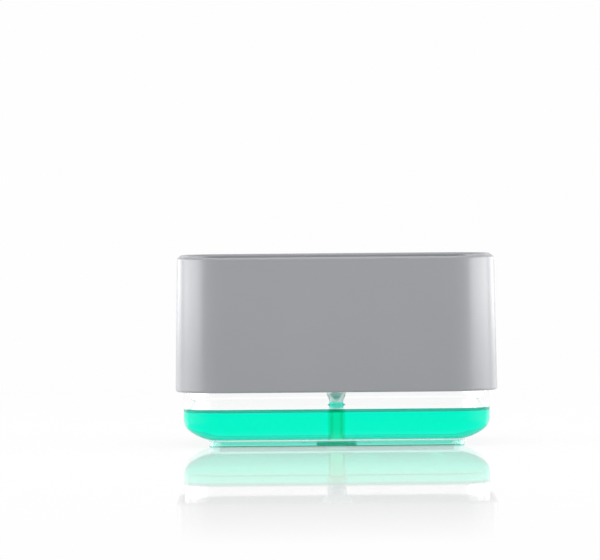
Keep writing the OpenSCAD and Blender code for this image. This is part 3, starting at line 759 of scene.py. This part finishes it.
def tank_rings():
    """Rings over the tank's whole surface, from the middle of its sump up, out and back below."""
    edge = TANK_ROUNDING
    inner_r = SUMP_RADIUS - TANK_WALL
    inner_z = SUMP_RISE + TANK_WALL
    floor_z = FOOT_HEIGHT + TANK_WALL
    sump = [(CAP_RADIUS, inner_z)]
    sump += rounding(inner_r - edge, inner_z + edge, edge, -90, 0)
    sump += rounding(inner_r + edge, floor_z - edge, edge, 180, 90)
    rings = [round_ring(r, z) for r, z in sump]
    profile = curve_arcs(TANK_WALL)
    rings += between(rings[-1], plan_ring(*profile[0]))
    half_wall = TANK_WALL / 2
    profile.append((TANK_RADIUS - TANK_WALL, SOAP_Z + CLIMB))
    profile += arc(TANK_RADIUS - half_wall, TANK_RIM_Z - half_wall, half_wall, 180, 0)
    profile.append((TANK_RADIUS, SOAP_Z + CLIMB))
    profile += reversed(OUTER_CURVE)
    foot_r = FOOT_RADIUS - FOOT_THICKNESS
    profile += rounding(FOOT_RADIUS + edge, FOOT_HEIGHT - edge, edge, 90, 180)
    profile += rounding(FOOT_RADIUS - edge, edge, edge, 0, -90)
    profile += rounding(foot_r + edge, edge, edge, 270, 180)
    profile += rounding(foot_r - edge, FOOT_HEIGHT - edge, edge, 0, 90)
    rings += [plan_ring(x, z) for x, z in profile]
    under = rounding(SUMP_RADIUS + edge, FOOT_HEIGHT - edge, edge, 90, 180)
    under += rounding(SUMP_RADIUS - edge, SUMP_RISE + edge, edge, 0, -90)
    under.append((CAP_RADIUS, SUMP_RISE))
    outer = [round_ring(r, z) for r, z in under]
    return rings + between(rings[-1], outer[0]) + outer


def is_wetted(radius, out, z):
    """Whether a face of the tank is on its inside and under the soap's surface."""
    if z > SOAP_Z + CLIMB or z < SUMP_RISE + SKIN_DEPTH:
        return False
    if radius < SUMP_RADIUS - SKIN_DEPTH:
        return True
    if z < FOOT_HEIGHT + SKIN_DEPTH:
        return False
    if out > TANK_RADIUS - CURVE_SIDE_RADIUS and z > FOOT_HEIGHT + CURVE_HEIGHT:
        return out < TANK_RADIUS - SKIN_DEPTH
    height = next((curve_z for curve_x, curve_z in OUTER_CURVE if curve_x >= out), FOOT_HEIGHT)
    return z > height + SKIN_DEPTH


def is_beside_soap(radius, out, z):
    """Whether a face of the tank is on its outside with only the wall between it and the soap."""
    over_soap = out > FOOT_RADIUS + BESIDE_MARGIN or radius < SUMP_RADIUS + BESIDE_MARGIN
    return z < SOAP_Z + CLIMB and over_soap


def is_foot_shade_edge(radius, out, z):
    """Whether a face of the tank is on the foot ring's lower edge, which is tinted dark as painted
    shade along its contact with the floor.
    """
    return z < FOOT_SHADE_HEIGHT and radius > SUMP_RADIUS + FOOT_MARGIN and out > FOOT_MARGIN


def tank_slot(face):
    x, y, z = (c / MM for c in face.center)
    radius = math.hypot(x, y)
    out = plan_distance(x, y)
    if is_wetted(radius, out, z):
        return TANK_WET
    if is_foot_shade_edge(radius, out, z):
        return TANK_FOOT_SHADE
    if is_beside_soap(radius, out, z):
        return TANK_CURVE if z < CURVE_TOP_Z else TANK_SIDE
    return TANK_RING if z < FOOT_HEIGHT else TANK_DRY


def make_tank():
    tank = skin("clear_tank", tank_rings(), closed=False)
    dress(tank, [
        clear("clear_tank", WHITE, TANK_IOR, TANK_ROUGHNESS),
        clear("clear_tank_wet", WHITE, MATCHED_IOR),
        clear("clear_tank_side", WHITE, SIDE_IOR),
        clear("clear_tank_foot_shade", FOOT_SHADE_TINT, TANK_IOR, FOOT_ROUGHNESS),
        clear("clear_tank_ring", RING_TINT, RING_IOR, TANK_ROUGHNESS),
        clear("clear_tank_curve", WHITE, CURVE_IOR),
    ], tank_slot)
    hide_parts("tank")
    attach(tank, "base")


# Soap

SOAP_IOR = 1.35
# What each crossing of the soap's side lets through
SOAP_TINT = (0.12, 0.99, 0.93)
# The same for the soap in the sump, tinted darker as painted shade, since light reaches it only
# through the soap round it
SUMP_SHADE_TINT = (0.05, 0.44, 0.32)
# The same for the dark line along the soap's edge, which is painted shade, and the level down to
# which it reaches
SHADE_LINE_TINT = (0.008, 0.24, 0.13)
SHADE_LINE_LOW_Z = 15.8
TOP_SHEEN = 0.95
# How much of the climb at the front wall the back wall has
BACK_CLIMB = 0.05
# Width of the flat rim inside the climb, and how far the surface reaches into the tube's wall
CLIMB_RIM = 0.2
TUBE_OVERLAP = 0.5
# Angles of the climb's arc at the tube
TUBE_ANGLES = (0, 20, 40, 60, 80)
# How far up the faces of the flat surface and of the climb turn at least
FLAT_UP = 0.97
CLIMB_UP = 0.2
# The soap's slots
SOAP_SIDE, SOAP_TOP, SOAP_EDGE, SOAP_SUMP_SHADE, SOAP_SHADE_LINE = range(5)


def lower_climb(ring):
    """Draws a ring near the soap's surface closer to its level towards the back wall."""
    lowered = []
    for x, y, z in ring:
        back = min(1, max(0, 0.5 + y / HALF_Y / 2))
        share = 1 - (1 - BACK_CLIMB) * back
        lowered.append((x, y, SOAP_Z + (z - SOAP_Z) * share if z >= SHADE_LINE_LOW_Z else z))
    return lowered


def tube_climb_ring(degrees):
    """A ring round the tube where the soap's surface climbs it, outermost at 0 degrees."""
    angle = math.radians(degrees)
    return round_ring(
        TUBE_RADIUS + CLIMB_RADIUS * (1 - math.sin(angle)),
        SOAP_Z + TUBE_CLIMB * (1 - math.cos(angle)),
    )


def soap_rings():
    """Rings over the soap, a little into the tank's wall so that light passes straight across."""
    inset = TANK_WALL - SOAP_OVERLAP
    low_z = SUMP_RISE + inset
    floor_z = FOOT_HEIGHT + inset
    sump_r = SUMP_RADIUS - inset
    side_x = TANK_RADIUS - inset
    rings = [round_ring(r, z) for r, z in [(CAP_RADIUS, low_z), (sump_r, low_z), (sump_r, floor_z)]]
    profile = [(x, z) for x, z in curve_arcs(inset) if z < SOAP_Z]
    rings += between(rings[-1], plan_ring(*profile[0]))
    profile += [(side_x, SHADE_LINE_LOW_Z), (side_x, SOAP_Z + CLIMB)]
    climb_x = TANK_RADIUS - TANK_WALL - CLIMB_RADIUS
    stop = math.degrees(math.asin(1 - CLIMB / CLIMB_RADIUS))
    profile += reversed(arc(climb_x, SOAP_Z + CLIMB_RADIUS, CLIMB_RADIUS, -90, -stop))
    profile.append((climb_x - CLIMB_RIM, SOAP_Z))
    rings += [lower_climb(plan_ring(x, z)) for x, z in profile]
    inner = [tube_climb_ring(degrees) for degrees in TUBE_ANGLES]
    inner.append(round_ring(TUBE_RADIUS - TUBE_OVERLAP, SOAP_Z + TUBE_CLIMB))
    inner.append(round_ring(CAP_RADIUS, SOAP_Z))
    return rings + between(rings[-1], inner[0]) + inner


def soap_slot(face):
    x, y, z = (c / MM for c in face.center)
    if face.normal.z > FLAT_UP:
        return SOAP_TOP
    if face.normal.z > CLIMB_UP:
        return SOAP_EDGE
    if z < FOOT_HEIGHT + SKIN_DEPTH and math.hypot(x, y) < SUMP_RADIUS:
        return SOAP_SUMP_SHADE
    return SOAP_SHADE_LINE if z > SHADE_LINE_LOW_Z else SOAP_SIDE


def make_soap():
    soap = skin("liquid_soap", soap_rings(), closed=False)
    dress(soap, [
        clear("liquid_soap", SOAP_TINT, MATCHED_IOR, absorbs=True),
        clear("liquid_soap_top", WHITE, SOAP_IOR, absorbs=True, sheen=TOP_SHEEN),
        clear("liquid_soap_edge", SOAP_TINT, SOAP_IOR, absorbs=True),
        clear("liquid_soap_sump_shade", SUMP_SHADE_TINT, MATCHED_IOR, absorbs=True),
        clear("liquid_soap_shade_line", SHADE_LINE_TINT, MATCHED_IOR),
    ], soap_slot)
    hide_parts("soap")
    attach(soap, "base")


# Return spring of the pump: the wire's centre line, from its lower to its upper end
SPRING_DIAMETER = 8.6
SPRING_WIRE = 0.7
SPRING_TURNS = 6
SPRING_LOW_Z = 27.8
SPRING_HIGH_Z = 44.5
# The end turns lie closed on the seats
END_TURNS = 1
END_PITCH = 0.8
WIRE_STEPS = 40
WIRE_SIDES = 12


def spring_point(turn):
    """A point of the wire's centre line at a number of turns above the lower end."""
    rise = SPRING_HIGH_Z - SPRING_LOW_Z
    pitch = (rise - 2 * END_TURNS * END_PITCH) / (SPRING_TURNS - 2 * END_TURNS)
    from_top = SPRING_TURNS - turn
    if turn < END_TURNS:
        height = END_PITCH * turn
    elif from_top < END_TURNS:
        height = rise - END_PITCH * from_top
    else:
        height = END_TURNS * END_PITCH + pitch * (turn - END_TURNS)
    angle = 2 * math.pi * turn
    radius = SPRING_DIAMETER / 2
    return Vector((radius * math.cos(angle), radius * math.sin(angle), SPRING_LOW_Z + height))


def wire_ring(step):
    """A ring round the wire, square to its line."""
    here = spring_point(step / WIRE_STEPS)
    ahead = spring_point((step + 0.5) / WIRE_STEPS) - spring_point((step - 0.5) / WIRE_STEPS)
    out = Vector((here.x, here.y, 0)).normalized()
    up = ahead.normalized().cross(out).normalized()
    ring = []
    for side in range(WIRE_SIDES):
        angle = 2 * math.pi * side / WIRE_SIDES
        ring.append(tuple(here + (out * math.cos(angle) + up * math.sin(angle)) * SPRING_WIRE / 2))
    return ring


def make_spring(steel):
    rings = [wire_ring(step) for step in range(SPRING_TURNS * WIRE_STEPS + 1)]
    spring = skin("spring_wire", rings, closed=False)
    spring.data.materials.append(steel)
    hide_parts("return_spring")
    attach(spring, "cover")
    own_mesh(spring)


# CAD nodes that stay

PLATE_LIGHT = (0.36, 0.37, 0.39)
PLATE_DARK = (0.345, 0.355, 0.375)
PUMP_LIGHT = (0.78, 0.78, 0.77)
PUMP_DARK = (0.74, 0.74, 0.735)
PUMP_SUBSURFACE = 0.15
PLASTIC_ROUGHNESS = 0.35
RUBBER_LIGHT = (0.09, 0.09, 0.095)
RUBBER_DARK = (0.07, 0.07, 0.075)
RUBBER_ROUGHNESS = 0.6
SILICONE_TINT = (0.9, 0.92, 0.92)
SILICONE_IOR = 1.41
SILICONE_ROUGHNESS = 0.45
STEEL_COLOUR = (0.55, 0.56, 0.58)
STEEL_SMOOTHEST = 0.12
STEEL_ROUGHEST = 0.3


def plain_steel():
    material, tree = material_tree("steel")
    finish_material(tree, add_node(tree, "ShaderNodeBsdfPrincipled", {
        "Base Color": STEEL_COLOUR, "Metallic": 1.0,
        "Roughness": spread(tree, noise(tree, scale=900), STEEL_SMOOTHEST, STEEL_ROUGHEST),
    }).outputs["BSDF"])
    return material


def dress_nodes(steel):
    plate = moulded("plate_grey", PLATE_LIGHT, PLATE_DARK, PLASTIC_ROUGHNESS)
    white = moulded("pump_white", PUMP_LIGHT, PUMP_DARK, PLASTIC_ROUGHNESS, PUMP_SUBSURFACE)
    natural = natural_plastic()
    rubber = moulded("seal_rubber", RUBBER_LIGHT, RUBBER_DARK, RUBBER_ROUGHNESS)
    silicone = clear("valve_silicone", SILICONE_TINT, SILICONE_IOR, SILICONE_ROUGHNESS)
    looks = {
        "tank_seal": rubber, "pump_gasket": rubber, "stem_wiper": rubber,
        "pump_cylinder": natural, "dip_tube": natural, "piston": natural,
        "guide_collar": white, "screw_collar": white, "ball_cage": white,
        "piston_rod": white, "pump_stem": white, "pump_head": white,
        "inlet_ball": steel, "outlet_ball": steel,
        "outlet_valve": silicone, "press_plate": plate,
    }
    for name, material in looks.items():
        for slot in NODES[name].material_slots:
            slot.material = material


make_camera()
make_world()
make_lamps()
make_floor()
make_housing()
make_tank()
make_soap()
pump_steel = plain_steel()
dress_nodes(pump_steel)
make_spring(pump_steel)

scene.view_settings.view_transform = "Standard"
